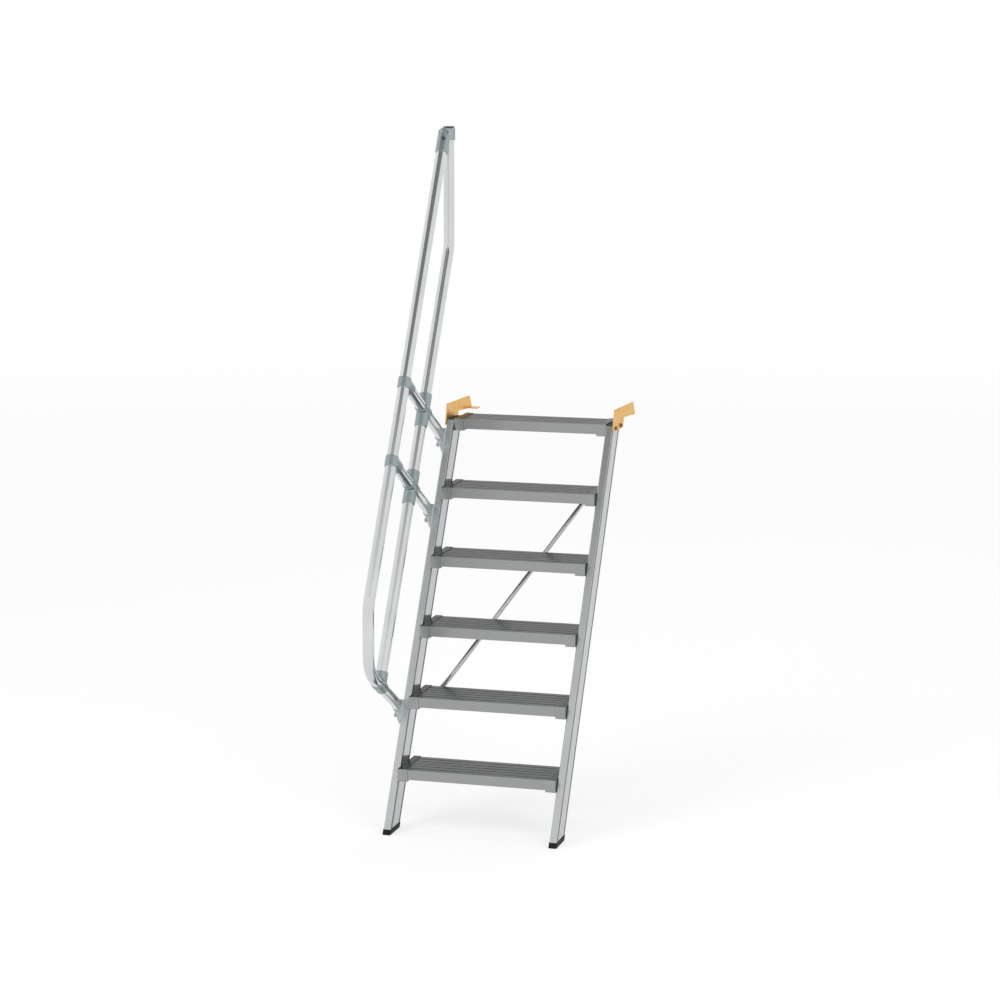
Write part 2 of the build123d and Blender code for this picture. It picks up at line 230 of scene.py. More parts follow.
def makeStringerMetal(finish):
    material, tree, shader = newMaterial("extrudedAluminium")
    lines = noise(tree, objectPlace(tree, finish["lineScale"], slopeTurn), scale=1.0, detail=3)
    clouds = noise(tree, objectPlace(tree), finish["cloudScale"], detail=5)
    sideways = facingSideways(tree)
    front = mixColours(tree, spread(tree, clouds, 0.0, 0.7), finish["colour"], finish["dull"])
    colour = mixColours(tree, sideways, front, finish["side"])
    # painted highlight: the stringers' edges are coloured brighter, as if their rounded corners caught
    # the light
    wornAndHighlitEdges = combine(tree, "MULTIPLY", edgeMask(tree, finish["edge"]), finish["edgeWearAndHighlight"])
    colour = mixColours(tree, wornAndHighlitEdges, colour, finish["edgeWearAndHighlightColour"])
    # painted shade: the sides darken along their grooves
    shadedGrooves = combine(tree, "MULTIPLY", sideways, grooveMask(tree, finish))
    colour = mixColours(tree, shadedGrooves, colour, finish["grooveShade"])
    tree.links.new(colour, shader.inputs["Base Color"])
    drawn = spread(tree, lines, *finish["roughness"])
    duller = spread(tree, sideways, finish["frontDull"], 0.0, 0.0, 1.0)
    tree.links.new(combine(tree, "ADD", drawn, duller), shader.inputs["Roughness"])
    shader.inputs["Metallic"].default_value = finish["metallic"]
    bump(tree, shader, [lines], strength=0.05, distance=0.0001)
    return material


# Treads: ribbed aluminium, lighter in front; the top is darker, partly a darker finish and partly the
# painted shade of its ribs, with lighter worn patches from footsteps
treadFinish = {
    "front": (0.335, 0.34, 0.34),
    # the top's colour: a darker finish together with the painted shade of the ribs
    "top": (0.235, 0.24, 0.242),
    "topWorn": (0.31, 0.315, 0.32),
    "metallic": 0.9,
    "grazing": (0.42, 0.42, 0.42, 1),   # keeps the deck dark when it is seen along its surface
    "roughness": (0.2, 0.34),
    "lineScale": (4, 1400, 1400),
    "patchScale": 9.0,
}


def makeTreadMetal(finish):
    material, tree, shader = newMaterial("ribbedAluminium")
    lines = noise(tree, objectPlace(tree, finish["lineScale"]), scale=1.0, detail=3)
    patches = noise(tree, objectPlace(tree), finish["patchScale"], detail=6, roughness=0.6)
    top = mixColours(tree, spread(tree, patches, 0.0, 0.8), finish["top"], finish["topWorn"])
    # partly painted shade: the faces that look up get the darker colour
    colour = mixColours(tree, facingUp(tree), finish["front"], top)
    tree.links.new(colour, shader.inputs["Base Color"])
    tree.links.new(spread(tree, lines, *finish["roughness"]), shader.inputs["Roughness"])
    shader.inputs["Metallic"].default_value = finish["metallic"]
    shader.inputs["Specular Tint"].default_value = finish["grazing"]
    bump(tree, shader, [lines, patches], strength=0.12, distance=0.0002)
    return material


# Shoes at the tread ends: the same metal, a little flatter, with their tops painted dark as shade
shoeFinish = {
    "colour": (0.35, 0.355, 0.355),
    # the tops' colour, painted dark as shade
    "top": (0.14, 0.143, 0.145),
    "dull": (0.29, 0.295, 0.295),
    "metallic": 0.9,
    "grazing": (0.45, 0.45, 0.45, 1),
    "roughness": (0.16, 0.28),
    "grainScale": 700.0,
    "cloudScale": 14.0,
}


def makeShoeMetal(finish):
    material, tree, shader = newMaterial("treadShoe")
    place = objectPlace(tree)
    grain = noise(tree, place, finish["grainScale"], detail=2)
    clouds = noise(tree, place, finish["cloudScale"], detail=5)
    side = mixColours(tree, spread(tree, clouds, 0.0, 0.6), finish["colour"], finish["dull"])
    # painted shade: the faces that look up get the dark colour
    colour = mixColours(tree, facingUp(tree), side, finish["top"])
    tree.links.new(colour, shader.inputs["Base Color"])
    tree.links.new(spread(tree, clouds, *finish["roughness"]), shader.inputs["Roughness"])
    shader.inputs["Metallic"].default_value = finish["metallic"]
    shader.inputs["Specular Tint"].default_value = finish["grazing"]
    bump(tree, shader, [grain], strength=0.08, distance=0.0003)
    return material


# Rails and struts: bright drawn tube
tubeFinish = {
    "colour": (0.68, 0.70, 0.705),
    "dull": (0.60, 0.615, 0.625),
    "metallic": 0.97,
    "roughness": (0.10, 0.17),
    "handledDull": 0.06,        # extra roughness where hands have been
    "lineScale": (700, 700, 4),
    "handledScale": 7.0,
}


def makeTubeMetal(finish):
    material, tree, shader = newMaterial("drawnTube")
    lines = noise(tree, objectPlace(tree, finish["lineScale"], slopeTurn), scale=1.0, detail=3)
    handled = noise(tree, objectPlace(tree), finish["handledScale"], detail=5)
    colour = mixColours(tree, spread(tree, handled, 0.0, 0.8), finish["colour"], finish["dull"])
    tree.links.new(colour, shader.inputs["Base Color"])
    drawn = spread(tree, lines, *finish["roughness"])
    duller = spread(tree, handled, 0.0, finish["handledDull"])
    tree.links.new(combine(tree, "ADD", drawn, duller), shader.inputs["Roughness"])
    shader.inputs["Metallic"].default_value = finish["metallic"]
    bump(tree, shader, [lines], strength=0.02, distance=0.0001)
    return material


# Rail fittings: sand-cast aluminium, grey with a green cast
castFinish = {
    "colour": (0.345, 0.41, 0.42),
    "pits": (0.26, 0.31, 0.32),
    "edgeWearAndHighlightColour": (0.50, 0.56, 0.565),
    "edgeWearAndHighlight": 0.5,
    "metallic": 0.8,
    "roughness": (0.26, 0.42),
    "sandScale": 850.0,
    "waveScale": 60.0,
    "edge": 0.0015,
}
# The sockets on the stringer are paler: painted light, a brighter copy of the cast finish against the
# shade they sit in
litSocketFinish = dict(
    castFinish,
    colour=(0.50, 0.54, 0.545),
    pits=(0.41, 0.44, 0.445),
    edgeWearAndHighlightColour=(0.62, 0.65, 0.655),
)


def makeCastMetal(name, finish):
    material, tree, shader = newMaterial(name)
    place = objectPlace(tree)
    sand = noise(tree, place, finish["sandScale"], detail=4, roughness=0.7)
    waves = noise(tree, place, finish["waveScale"], detail=3)
    colour = mixColours(tree, spread(tree, sand, 0.7, 0.0), finish["colour"], finish["pits"])
    wornAndHighlitEdges = combine(tree, "MULTIPLY", edgeMask(tree, finish["edge"]), finish["edgeWearAndHighlight"])
    colour = mixColours(tree, wornAndHighlitEdges, colour, finish["edgeWearAndHighlightColour"])
    tree.links.new(colour, shader.inputs["Base Color"])
    tree.links.new(spread(tree, waves, *finish["roughness"]), shader.inputs["Roughness"])
    shader.inputs["Metallic"].default_value = finish["metallic"]
    bump(tree, shader, [sand, waves], strength=0.25, distance=0.0003)
    return material


# Brace and small bolts: bright zinc on steel
zincFinish = {
    "colour": (0.62, 0.63, 0.65),
    "spangle": (0.50, 0.51, 0.53),
    "spangleShare": 0.6,
    "metallic": 0.9,
    "roughness": (0.22, 0.38),
    "spangleScale": 320.0,
    "grainScale": 900.0,
}
# The head connector's screw is blackened
screwFinish = dict(
    zincFinish,
    colour=(0.05, 0.052, 0.055),
    spangle=(0.03, 0.031, 0.033),
)


def makeZincSteel(name, finish):
    material, tree, shader = newMaterial(name)
    place = objectPlace(tree)
    spangle = addNode(tree, "ShaderNodeTexVoronoi", {"Scale": finish["spangleScale"]})
    tree.links.new(place, spangle.inputs["Vector"])
    split = addNode(tree, "ShaderNodeSeparateColor")
    tree.links.new(spangle.outputs["Color"], split.inputs[0])
    share = combine(tree, "MULTIPLY", split.outputs[0], finish["spangleShare"])
    colour = mixColours(tree, share, finish["colour"], finish["spangle"])
    tree.links.new(colour, shader.inputs["Base Color"])
    rough = spread(tree, split.outputs[1], *finish["roughness"], 0.0, 1.0)
    tree.links.new(rough, shader.inputs["Roughness"])
    shader.inputs["Metallic"].default_value = finish["metallic"]
    grain = noise(tree, place, finish["grainScale"], detail=2)
    bump(tree, shader, [grain], strength=0.06, distance=0.0002)
    return material


# Landing hooks: yellow passivated steel, with the tint drifting from gold to a paler straw
hookFinish = {
    "gold": (0.76, 0.46, 0.16),
    "straw": (0.80, 0.55, 0.25),
    "shade": (0.64, 0.38, 0.12),
    "shadeShare": 0.3,
    "edgeWearAndHighlight": 0.4,
    "metallic": 0.9,
    "grazing": (0.95, 0.78, 0.55, 1),
    "roughness": (0.22, 0.38),
    "driftScale": 13.0,
    "blotchScale": 55.0,
    "grainScale": 900.0,
    "edge": 0.0012,
}
# Their bolts have the same plating, in a darker brown
boltFinish = dict(
    hookFinish,
    gold=(0.34, 0.22, 0.09),
    straw=(0.42, 0.30, 0.14),
    shade=(0.2, 0.12, 0.05),
)


def makeHookSteel(name, finish):
    material, tree, shader = newMaterial(name)
    place = objectPlace(tree)
    drift = noise(tree, place, finish["driftScale"], detail=4)
    blotches = noise(tree, place, finish["blotchScale"], detail=5, roughness=0.65)
    grain = noise(tree, place, finish["grainScale"], detail=2)
    colour = mixColours(tree, spread(tree, drift, 0.0, 1.0), finish["gold"], finish["straw"])
    darker = spread(tree, blotches, 0.0, finish["shadeShare"], 0.5, 0.75)
    colour = mixColours(tree, darker, colour, finish["shade"])
    wornAndHighlitEdges = combine(tree, "MULTIPLY", edgeMask(tree, finish["edge"]), finish["edgeWearAndHighlight"])
    colour = mixColours(tree, wornAndHighlitEdges, colour, finish["straw"])
    tree.links.new(colour, shader.inputs["Base Color"])
    tree.links.new(spread(tree, blotches, *finish["roughness"]), shader.inputs["Roughness"])
    shader.inputs["Metallic"].default_value = finish["metallic"]
    shader.inputs["Specular Tint"].default_value = finish["grazing"]
    bump(tree, shader, [grain], strength=0.08, distance=0.0002)
    return material


# Foot caps, top caps and the plug: moulded black plastic
plasticFinish = {
    "colour": (0.012, 0.012, 0.013),
    "dusty": (0.03, 0.03, 0.03),
    "roughness": (0.45, 0.65),
    "shine": 0.12,
    "grainScale": 1500.0,
    "dustScale": 40.0,
}


def makeBlackPlastic(finish):
    material, tree, shader = newMaterial("blackPlastic")
    place = objectPlace(tree)
    grain = noise(tree, place, finish["grainScale"], detail=2)
    dust = noise(tree, place, finish["dustScale"], detail=5)
    settled = spread(tree, dust, 0.0, 1.0, 0.45, 0.8)
    colour = mixColours(tree, settled, finish["colour"], finish["dusty"])
    tree.links.new(colour, shader.inputs["Base Color"])
    tree.links.new(spread(tree, dust, *finish["roughness"]), shader.inputs["Roughness"])
    shader.inputs["Specular IOR Level"].default_value = finish["shine"]
    bump(tree, shader, [grain], strength=0.15, distance=0.0002)
    return material


finishes = {
    "stringer": makeStringerMetal(stringerFinish),
    "tread": makeTreadMetal(treadFinish),
    "shoe": makeShoeMetal(shoeFinish),
    "tube": makeTubeMetal(tubeFinish),
    "cast": makeCastMetal("castFitting", castFinish),
    # the sockets get the paler copy of the cast finish, painted light
    "socket": makeCastMetal("castSocket", litSocketFinish),
    "zinc": makeZincSteel("zincSteel", zincFinish),
    "hook": makeHookSteel("yellowZincSteel", hookFinish),
    "screw": makeZincSteel("blackenedSteel", screwFinish),
    "bolt": makeHookSteel("brownedZincSteel", boltFinish),
    "plastic": makeBlackPlastic(plasticFinish),
}
print("finishes made:", ", ".join(finishes))


def finishOf(name):
    if "cap" in name or name == "top_plug":
        return "plastic"
    if "hook_bolts" in name:
        return "bolt"
    if name == "brace":
        return "zinc"
    if "landing_hook" in name:
        return "hook"
    if "shoe" in name:
        return "shoe"
    if name.startswith("tread"):
        return "tread"
    if "stringer" in name:
        return "stringer"
    if "rail" in name and "tee" not in name or "strut" in name:
        return "tube"
    return "cast"


for name, node in nodes.items():
    material = finishes[finishOf(name)]
    if not node.material_slots:
        node.data.materials.append(material)
    for materialSlot in node.material_slots:
        materialSlot.material = material
print("CAD pieces finished")


# Helpers for new pieces, which all belong to the stair's one body
def newPiece(name, mesh, material):
    piece = bpy.data.objects.new(name, mesh)
    bpy.context.scene.collection.objects.link(piece)
    mesh.materials.append(material)
    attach(piece, "root")
    return piece


def facing(place, direction):
    return Matrix.Translation(place) @ direction.to_track_quat("Z", "Y").to_matrix().to_4x4()


def meshOf(name, form):
    bmesh.ops.recalc_face_normals(form, faces=form.faces)
    mesh = bpy.data.meshes.new(name)
    form.to_mesh(mesh)
    form.free()
    return mesh


def addWalls(form, rings):
    # faces between rings that have the same number of points
    for lower, upper in zip(rings, rings[1:]):
        for index in range(len(lower)):
            after = (index + 1) % len(lower)
            form.faces.new((lower[index], lower[after], upper[after], upper[index]))


def addPlate(form, left, right):
    # a flat plate between two like outlines
    rings = [[form.verts.new(point) for point in outline] for outline in (left, right)]
    form.faces.new(rings[0])
    form.faces.new(rings[1][::-1])
    addWalls(form, rings)


def addSlopePlate(form, outline, left, right):
    # between two places across the stair, with the outline given as (s, n)
    addPlate(form, *([slopePoint(x, s, n) for s, n in outline] for x in (left, right)))


def addRod(form, start, end, radius, endRadius=None):
    rod = bmesh.ops.create_cone(
        form,
        cap_ends=True,
        segments=64,
        radius1=radius,
        radius2=endRadius or radius,
        depth=(end - start).length,
    )
    matrix = facing((start + end) / 2, end - start)
    bmesh.ops.transform(form, matrix=matrix, verts=rod["verts"])


# Rail castings: sleeves and webs melted into one rounded form, then bored for the tubes
castShape = {
    "sleeve": 0.0245,        # outer radius around a tube
    "bore": 0.0211,
    "drill": 0.1,            # how far a bore's tool reaches from the fitting's centre
    "branchStart": 0.027,    # where a blind bore starts, from the axis of the rail it meets
    "grain": 0.0015,         # step of the melted surface
    "rounding": 8,           # how many times its edges are smoothed
    "sharpOver": 40,         # degrees
    "railOut": 0.495,        # the handrail's and the knee rail's distance off the slope
    "kneeOut": 0.230,
}


def formObject(name, form):
    made = bpy.data.objects.new(name, meshOf(name, form))
    bpy.context.scene.collection.objects.link(made)
    return made


def castPiece(name, nodeName, body, holes, finish="cast"):
    rough = formObject(name + "Rough", body)
    drill = formObject(name + "Drill", holes)
    melt = rough.modifiers.new("melt", "REMESH")
    melt.mode = "VOXEL"
    melt.voxel_size = castShape["grain"]
    soften = rough.modifiers.new("soften", "SMOOTH")
    soften.factor = 0.5
    soften.iterations = castShape["rounding"]
    bore = rough.modifiers.new("bore", "BOOLEAN")
    bore.operation = "DIFFERENCE"
    bore.solver = "EXACT"
    bore.object = drill
    shaped = rough.evaluated_get(bpy.context.evaluated_depsgraph_get())
    mesh = bpy.data.meshes.new_from_object(shaped)
    mesh.name = name
    mesh.materials.clear()
    for polygon in mesh.polygons:
        polygon.use_smooth = True
    mesh.set_sharp_from_angle(angle=math.radians(castShape["sharpOver"]))
    for used in (rough, drill):
        bpy.data.objects.remove(used)
    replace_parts(newPiece(name, mesh, finishes[finish]), nodeName)


def addSleeve(body, start, end):
    addRod(body, railPoint(*start), railPoint(*end), castShape["sleeve"])


def addBore(holes, start, end):
    addRod(holes, railPoint(*start), railPoint(*end), castShape["bore"])


def addWeb(body, outline, thickness):
    middleX = stair["railX"]
    addSlopePlate(body, outline, middleX - thickness / 2, middleX + thickness / 2)


# Tee on the handrail: a short sleeve around it and a long branch towards the stringer
handrailTeeShape = {
    "up": 0.016,             # the sleeve's ends, from the strut's axis
    "down": 0.026,
    "branch": 0.070,
    "web": 0.018,
    "webRoot": 0.006,        # how deep the web starts in the sleeve
    "webEdge": 0.0185,       # how far the web reaches aside at the branch's end
    "bulge": (0.0215, 0.05),     # the upper web's bend, up the rail and in from it
}


def castHandrailTee(name, nodeName, s, shape):
    n, drill = castShape["railOut"], castShape["drill"]
    up, down, end = s + shape["up"], s - shape["down"], n - shape["branch"]
    root = n - castShape["sleeve"] + shape["webRoot"]
    edge = shape["webEdge"]
    bulgeUp, bulgeIn = shape["bulge"]
    body, holes = bmesh.new(), bmesh.new()
    addSleeve(body, (down, n), (up, n))
    addSleeve(body, (s, n), (s, end))
    above = [(s, n), (up, root), (s + bulgeUp, n - bulgeIn), (s + edge, end), (s, end)]
    below = [(s, n), (down, root), (s - edge, end), (s, end)]
    addWeb(body, above, shape["web"])
    addWeb(body, below, shape["web"])
    addBore(holes, (s - drill, n), (s + drill, n))
    addBore(holes, (s, n - castShape["branchStart"]), (s, n - drill))
    castPiece(name, nodeName, body, holes)


# Cross on the knee rail, between the two lengths of a strut
kneeCrossShape = {
    "up": 0.062,
    "down": 0.071,
    "branch": 0.040,
    "web": 0.014,
}


def castKneeCross(name, nodeName, s, shape):
    n, drill = castShape["kneeOut"], castShape["drill"]
    up, down, branch = s + shape["up"], s - shape["down"], shape["branch"]
    body, holes = bmesh.new(), bmesh.new()
    addSleeve(body, (down, n), (up, n))
    addSleeve(body, (s, n - branch), (s, n + branch))
    addWeb(body, [(up, n), (s, n + branch), (down, n), (s, n - branch)], shape["web"])
    addBore(holes, (s - drill, n), (s + drill, n))
    for way in (-1, 1):
        addBore(holes, (s, n + way * castShape["branchStart"]), (s, n + way * drill))
    castPiece(name, nodeName, body, holes)


# Tee on the lowest post, with the knee rail's end in its branch
kneeTeeShape = {
    "half": 0.034,           # from the branch's axis to either end of the sleeve
    "branch": 0.050,
    "web": 0.014,
    "webRoot": 0.006,
}


def castKneeTee(name, nodeName, s, shape):
    n, drill, half = castShape["kneeOut"], castShape["drill"], shape["half"]
    end, edge = s + shape["branch"], castShape["sleeve"] - shape["webRoot"]
    body, holes = bmesh.new(), bmesh.new()
    addSleeve(body, (s, n - half), (s, n + half))
    addSleeve(body, (s, n), (end, n))
    addWeb(body, [(s, n - half), (end, n - edge), (end, n + edge), (s, n + half)], shape["web"])
    addBore(holes, (s, n - drill), (s, n + drill))
    addBore(holes, (s + castShape["branchStart"], n), (s + drill, n))
    castPiece(name, nodeName, body, holes)


for place in ("upper", "middle"):
    s = stair[place + "Post"]
    castHandrailTee(f"cast_tee_{place}", f"handrail_tee_{place}", s, handrailTeeShape)
    castKneeCross(f"cast_cross_{place}", f"knee_cross_{place}", s, kneeCrossShape)
castKneeTee("cast_knee_tee", "knee_tee_lower", stair["lowerPost"], kneeTeeShape)
print("rail castings made")

# Head connector: a level sleeve on the upright and a slanted one on the handrail
headShape = {
    "uprightY": (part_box("top_plug")[0].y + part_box("top_plug")[1].y) / 2,
    "top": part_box("top_connector")[1].z,
    "drop": 0.046,           # length of the upright's sleeve
    "slantTop": 0.984,       # the slanted sleeve's ends, measured up the slope
    "shoulder": 0.945,
    "slantEnd": 0.883,
    "handrailEnd": 0.967,    # where the handrail's tube ends inside
    "narrow": 0.018,         # radius of the slanted sleeve's upper end
    "web": 0.041,
    # the web between the sleeves, from the top of the upright's axis: away and up
    "webOutline": ((-0.066, -0.004), (0, -0.001), (0, -0.044), (-0.052, -0.046), (-0.078, -0.022)),
    "overTop": 0.01,
}


def castHeadConnector(name, nodeName, shape):
    n, drill = castShape["railOut"], castShape["drill"]
    head = Vector((stair["railX"], shape["uprightY"], shape["top"]))
    down = Vector((0, 0, -shape["drop"]))
    shoulder = railPoint(shape["shoulder"], n)
    body, holes = bmesh.new(), bmesh.new()
    addRod(body, head + down, head, castShape["sleeve"])
    addSleeve(body, (shape["slantEnd"], n), (shape["shoulder"], n))
    addRod(body, shoulder, railPoint(shape["slantTop"], n), castShape["sleeve"], shape["narrow"])
    sides = []
    for side in (-shape["web"] / 2, shape["web"] / 2):
        sides.append([head + Vector((side, away, up)) for away, up in shape["webOutline"]])
    addPlate(body, *sides)
    foot = head + down - Vector((0, 0, drill))
    addRod(holes, foot, head + Vector((0, 0, shape["overTop"])), castShape["bore"])
    addBore(holes, (shape["slantEnd"] - drill, n), (shape["handrailEnd"], n))
    castPiece(name, nodeName, body, holes)


castHeadConnector("cast_head_connector", "top_connector", headShape)
print("head connector made")

# Sockets on the stringer: a cup for the strut, an ear in front of it, a rib below, and a lip
# that laps over the front of the stringer
socketShape = {
    "earTop": 0.017,
    "earFoot": 0.060,          # down the slope, at the ear's front edge
    "earOut": 0.013,
    "earFront": 0.006,
    "cup": (-0.028, -0.078),   # where the cup starts and ends, off the slope
    "cupRadius": 0.0257,
    "tail": 0.082,             # how far the ear and the rib reach down
    "rib": (0.023, 0.008),     # radii of the rib at the cup and at its tip
    "ribStart": 0.004,
    "ribTip": 0.012,           # from the tail's end
    "neck": 0.020,             # radius of the bridge from the cup to the stringer
    "lip": 0.0028,
    "lipFoot": 0.064,
    "lipRoot": -0.002,
    "overlap": 0.004,          # how far lip and rib start outside the stringer's face
    "earSink": 0.001,
    "postEnd": -0.0612,
    "boreMouth": 0.05,
    "cutUp": 0.15,             # the stringer's own space is cut away this far up and down
    "cutDown": 0.20,
    "cutAcross": 0.05,
    "bossRadius": 0.0085,      # the seat of the bolt in the flank
    "bossLength": 0.02,
    "bossPlace": (-0.010, -0.006, -0.062),
    "bossSink": 0.003,
    "bossLean": -0.35,
}


def flankBolt(s, shape):
    # where the bolt sits on the flank of a socket, and the direction in which it sticks out
    aside, along, out = shape["bossPlace"]
    outward = (Vector((shape["bossLean"], 0, 0)) - upSlope).normalized()
    axis = slopePoint(stair["railX"] + aside, s + along, out)
    return axis + outward * (shape["cupRadius"] - shape["bossSink"]), outward


def castSocket(name, nodeName, s, shape):
    outer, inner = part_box("left_stringer")[0].x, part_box("left_stringer")[1].x
    front, back = shape["cup"]
    middle = (front + back) / 2
    top, foot, tail = s + shape["earTop"], s - shape["earFoot"], s - shape["tail"]
    body, holes = bmesh.new(), bmesh.new()
    ear = [(top, shape["earFront"]), (top, back), (tail, back), (foot, shape["earFront"])]
    addSlopePlate(body, ear, outer - shape["earOut"], outer + shape["earSink"])
    root, lip, lipFoot = shape["lipRoot"], shape["lip"], s - shape["lipFoot"]
    lap = [(top, root), (top, lip), (lipFoot, lip), (lipFoot, root)]
    addSlopePlate(body, lap, outer - shape["overlap"], inner)
    addRod(body, railPoint(s, front), railPoint(s, back), shape["cupRadius"])
    tip = slopePoint(outer - shape["overlap"], tail + shape["ribTip"], middle)
    addRod(body, railPoint(s - shape["ribStart"], middle), tip, *shape["rib"])
    addRod(body, railPoint(s, middle), slopePoint(outer, s, middle), shape["neck"])
    seat, outward = flankBolt(s, shape)
    addRod(body, seat - outward * shape["bossLength"], seat, shape["bossRadius"])
    addBore(holes, (s, shape["postEnd"]), (s, shape["boreMouth"]))
    high, low, depth = s + shape["cutUp"], s - shape["cutDown"], -stair["stringerDepth"]
    stringer = [(high, 0), (high, depth), (low, depth), (low, 0)]
    addSlopePlate(holes, stringer, outer, inner + shape["cutAcross"])
    castPiece(name, nodeName, body, holes, "socket")


for place in ("upper", "middle", "lower"):
    castSocket(f"cast_socket_{place}", place + "_socket", stair[place + "Post"], socketShape)
print("sockets made")


# Fasteners: rings joined from the foot to the top, each a circle or a hexagon
ringSteps = 24


def hexagonReach(angle):
    # how far out a hexagon's side lies, as a share of its corner's radius
    return math.cos(math.pi / 6) / math.cos(angle % (math.pi / 3) - math.pi / 6)


def addRing(form, radius, height, sixSided):
    ring = []
    for step in range(ringSteps):
        angle = step * math.tau / ringSteps
        reach = radius * (hexagonReach(angle) if sixSided else 1.0)
        ring.append(form.verts.new((reach * math.cos(angle), reach * math.sin(angle), height)))
    return ring


def fastenerMesh(name, rings, places):
    form = bmesh.new()
    for place, direction in places:
        made = [addRing(form, *ring) for ring in rings]
        addWalls(form, made)
        form.faces.new(made[-1])
        points = [point for ring in made for point in ring]
        bmesh.ops.transform(form, matrix=facing(place, direction), verts=points)
    return meshOf(name, form)


# Set screw in the head connector, with a hexagon socket
screwShape = {
    "radius": 0.0068,
    "proud": 0.0014,
    "sunk": 0.004,
    "socket": 0.0040,
    "socketDepth": 0.0035,
    "round": 0.0006,
    "upSlope": 0.934,
    "facing": (0.276, -0.781, 0.451),
}


def screwRings(shape):
    radius, proud, socket = shape["radius"], shape["proud"], shape["socket"]
    return (
        (radius, -shape["sunk"], False),
        (radius, proud - shape["round"], False),
        (radius - shape["round"], proud, False),
        (socket, proud, True),
        (socket, proud - shape["socketDepth"], True),
    )


screwWay = Vector(screwShape["facing"]).normalized()
screwSeat = railPoint(screwShape["upSlope"], castShape["railOut"]) + screwWay * castShape["sleeve"]
headScrew = fastenerMesh("headScrew", screwRings(screwShape), [(screwSeat, screwWay)])
newPiece("head_screw", headScrew, finishes["screw"])

# Hexagon bolts on flat washers: one in the flank of each socket, and one through each flat end
# of the brace
boltShape = {
    "across": 0.013,
    "height": 0.0052,
    "washerRadius": 0.0085,
    "washer": 0.0014,
    "chamfer": 0.0007,
    "crown": 0.97,           # the top circle, as a share of the size across the flats
}
braceBoltPlace = {
    "fromEnd": 0.012,
    "fromEdge": 0.010,
    "behindTread": 0.004,
}


def boltRings(shape):
    washer, top, half = shape["washer"], shape["washer"] + shape["height"], shape["across"] / 2
    corner = half / math.cos(math.pi / 6)
    return (
        (shape["washerRadius"], 0.0, False),
        (shape["washerRadius"], washer, False),
        (corner, washer, True),
        (corner, top - shape["chamfer"], True),
        (half * shape["crown"], top, False),
    )


def braceBoltPlaces(settings):
    low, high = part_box("brace")
    aside, above, behind = settings["fromEnd"], settings["fromEdge"], settings["behindTread"]
    lowerY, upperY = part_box("tread_2")[1].y + behind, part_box("tread_5")[1].y + behind
    lower = Vector((low.x + aside, lowerY, low.z + above))
    upper = Vector((high.x - aside, upperY, high.z - above))
    return [(lower, Vector((0, 1, 0))), (upper, Vector((0, 1, 0)))]


flankPlaces = [flankBolt(stair[place + "Post"], socketShape) for place in ("upper", "middle", "lower")]
socketBolts = fastenerMesh("socketBolts", boltRings(boltShape), flankPlaces)
newPiece("socket_bolts", socketBolts, finishes["zinc"])
braceBolts = fastenerMesh("braceBolts", boltRings(boltShape), braceBoltPlaces(braceBoltPlace))
newPiece("brace_bolts", braceBolts, finishes["zinc"])
print("fasteners made")


# Floor and white background
studio = {
    "floorColour": (0.93, 0.93, 0.93),
    "floorSize": 120.0,
    "floorDrop": 0.0005,       # under the foot caps
    "floorRoughness": 0.9,
    "nearWhite": 0.7,          # how much of the floor near the stair is plain white
    "fade": (3.0, 14.0),       # from here out, in metres, it turns into the white background
    "skyDiffuse": 0.75,        # the white world's strength as a light
}


def seenDirectly(tree):
    # 1 for what the camera or a reflection sees, 0 for light that falls on surfaces
    paths = addNode(tree, "ShaderNodeLightPath")
    camera, glossy = paths.outputs["Is Camera Ray"], paths.outputs["Is Glossy Ray"]
    return combine(tree, "ADD", camera, glossy, clamp=True), paths


def makeFloor(settings):
    half, height = settings["floorSize"] / 2, stair["floorZ"] - settings["floorDrop"]
    corners = [(x * half, y * half, height) for x, y in ((-1, -1), (1, -1), (1, 1), (-1, 1))]
    mesh = bpy.data.meshes.new("floor")
    mesh.from_pydata(corners, [], [(0, 1, 2, 3)])
    floor = bpy.data.objects.new("floor", mesh)
    bpy.context.scene.collection.objects.link(floor)
    material, tree, shader = newMaterial("paleFloor")
    shader.inputs["Base Color"].default_value = (*settings["floorColour"], 1)
    shader.inputs["Roughness"].default_value = settings["floorRoughness"]
    shader.inputs["Specular IOR Level"].default_value = 0.0
    shine = addNode(tree, "ShaderNodeEmission", {"Color": (1, 1, 1, 1), "Strength": 1.0})
    place = addNode(tree, "ShaderNodeTexCoord")
    distance = addNode(tree, "ShaderNodeVectorMath", operation="LENGTH")
    tree.links.new(place.outputs["Object"], distance.inputs[0])
    white = spread(tree, distance.outputs["Value"], settings["nearWhite"], 1.0, *settings["fade"])
    mix = addNode(tree, "ShaderNodeMixShader")
    tree.links.new(combine(tree, "MULTIPLY", seenDirectly(tree)[0], white), mix.inputs[0])
    tree.links.new(shader.outputs[0], mix.inputs[1])
    tree.links.new(shine.outputs[0], mix.inputs[2])
    tree.links.new(mix.outputs[0], tree.nodes["Material Output"].inputs["Surface"])
    mesh.materials.append(material)


def makeWorld(settings):
    world = bpy.data.worlds.new("studio")
    world.use_nodes = True
    tree = world.node_tree
    background = tree.nodes["Background"]
    background.inputs["Color"].default_value = (1, 1, 1, 1)
    seen, paths = seenDirectly(tree)
    through = paths.outputs["Is Transmission Ray"]
    seen = combine(tree, "ADD", seen, through, clamp=True)
    level = spread(tree, seen, settings["skyDiffuse"], 1.0, 0.0, 1.0)
    tree.links.new(level, background.inputs["Strength"])
    bpy.context.scene.world = world


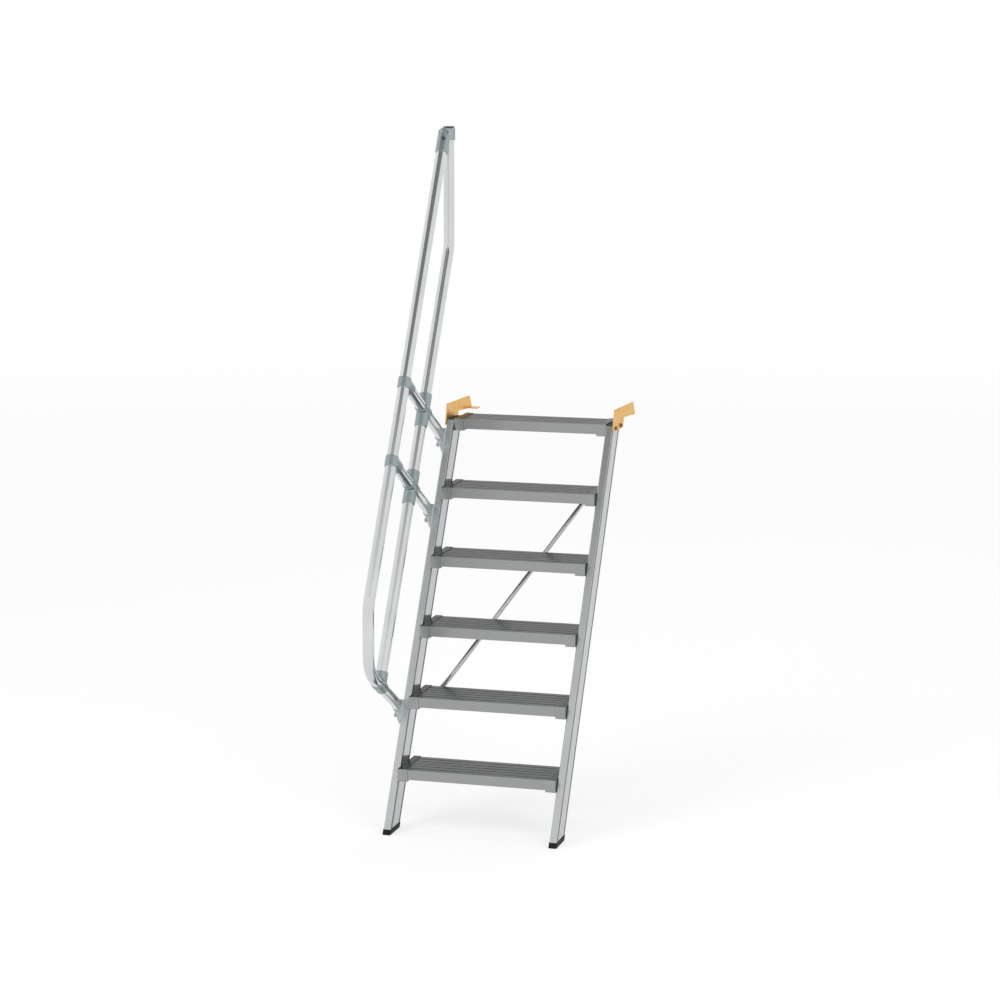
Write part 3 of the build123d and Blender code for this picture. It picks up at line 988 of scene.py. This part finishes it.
# Soft lamps
lamps = {
    "key": {"place": (-3.5, -4.5, 5.5), "size": 3.5, "power": 190},
    "fill": {"place": (4.5, -4.0, 2.5), "size": 3.5, "power": 90},
    "back": {"place": (1.0, 5.0, 4.5), "size": 3.0, "power": 70},
}


def makeLamp(name, settings, target):
    data = bpy.data.lights.new(name, "AREA")
    data.energy = settings["power"]
    data.shape = "DISK"
    data.size = settings["size"]
    lamp = bpy.data.objects.new(name, data)
    lamp.location = settings["place"]
    lamp.rotation_euler = (target - lamp.location).to_track_quat("-Z", "Y").to_euler()
    lamp.visible_glossy = False    # the metal mirrors the white room and the grey card only
    bpy.context.scene.collection.objects.link(lamp)


# Grey card overhead, which only reflections see: it darkens the fronts of the stringers and
# draws the dark line along the sloping tubes
cardShape = {
    "x": (-2.7, 3.0),
    "y": (-5.8, -0.8),
    "z": 4.2,
    "grey": 0.22,
    "fade": (-5.6, -3.9),      # along Y, from the room's white to the full grey
}


def makeCard(name, shape):
    (left, right), (near, far), z = shape["x"], shape["y"], shape["z"]
    corners = [(left, near, z), (right, near, z), (right, far, z), (left, far, z)]
    mesh = bpy.data.meshes.new(name)
    mesh.from_pydata(corners, [], [(0, 1, 2, 3)])
    card = bpy.data.objects.new(name, mesh)
    bpy.context.scene.collection.objects.link(card)
    material, tree = newMaterial(name)[:2]
    place = addNode(tree, "ShaderNodeTexCoord")
    split = addNode(tree, "ShaderNodeSeparateXYZ")
    tree.links.new(place.outputs["Object"], split.inputs[0])
    strength = spread(tree, split.outputs["Y"], 1.0, shape["grey"], *shape["fade"])
    glow = addNode(tree, "ShaderNodeEmission")
    tree.links.new(strength, glow.inputs["Strength"])
    tree.links.new(glow.outputs[0], tree.nodes["Material Output"].inputs["Surface"])
    mesh.materials.append(material)
    card.visible_camera = False
    card.visible_diffuse = False
    card.visible_shadow = False


# Camera at the photograph's angle
view = {
    "place": (3.2693, -11.0329, 1.5888),
    "turn": 16.0,       # degrees to the left of straight ahead
    "down": 9.65,       # degrees below the horizon
    "lens": 106.13,
    "sensor": 36,
    "farthest": 500,
}


def makeCamera(settings):
    data = bpy.data.cameras.new("camera")
    data.sensor_width = settings["sensor"]
    data.lens = settings["lens"]
    data.clip_end = settings["farthest"]
    camera = bpy.data.objects.new("camera", data)
    camera.location = settings["place"]
    tilt, turn = math.radians(90 - settings["down"]), math.radians(settings["turn"])
    camera.rotation_euler = (tilt, 0, turn)
    bpy.context.scene.collection.objects.link(camera)
    bpy.context.scene.camera = camera


makeFloor(studio)
makeWorld(studio)
for name, settings in lamps.items():
    makeLamp(name, settings, (cadBox[0] + cadBox[1]) / 2)
makeCard("overhead", cardShape)
makeCamera(view)
bpy.context.scene.view_settings.view_transform = "Standard"
print("studio ready")
